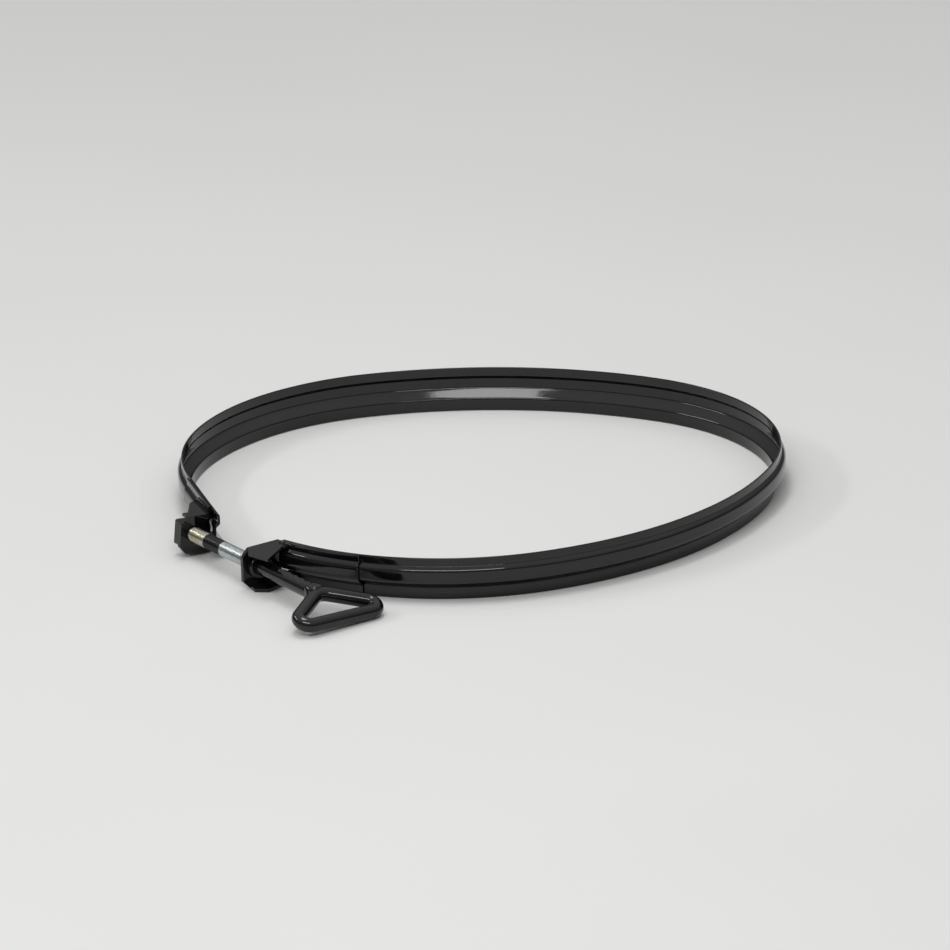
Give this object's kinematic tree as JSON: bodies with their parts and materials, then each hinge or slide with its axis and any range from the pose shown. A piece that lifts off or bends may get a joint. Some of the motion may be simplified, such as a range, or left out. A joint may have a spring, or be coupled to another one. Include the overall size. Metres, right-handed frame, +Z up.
{
  "type": "hose clamp",
  "caption": "Large channel-section band clamp drawn shut by one screw with a welded wire-loop handle.",
  "frame": {"origin": "middle of the band on the plane of its lower rim", "axes": "+Z up along the band's axis, -Y to the gap and the screw, +X along the screw to the handle"},
  "size_m": [0.3662, 0.4152, 0.0283],
  "materials": {
    "black_enamel": "gloss black enamel",
    "zinc_plate": "bright zinc plate"
  },
  "bodies": {
    "clamp": {"band": "black_enamel", "nut_lug_strap": "black_enamel", "bolt_lug_strap": "black_enamel", "nut_lug_bracket": "black_enamel", "bolt_lug_bracket": "black_enamel", "nut_lug_welds": "black_enamel", "bolt_lug_welds": "black_enamel", "square_nut": "black_enamel"},
    "collar": {"thrust_collar": "black_enamel"},
    "screw": {"screw": "zinc_plate", "handle_loop": "black_enamel", "handle_weld": "black_enamel"}
  },
  "joints": [
    {"name": "screw_travel", "type": "slide", "parent": "clamp", "child": "collar", "axis": [1, 0, 0], "range_m": [0, 0.00794]},
    {"name": "handle_turn", "type": "hinge", "parent": "collar", "child": "screw", "pos_m": [0.11, -0.1935, 0.0141], "axis": [1, 0, 0], "range_deg": [0, 1800]}
  ],
  "couplings": [
    {"joint": "handle_turn", "follows": "screw_travel", "rad_per_m": 3957.9}
  ]
}
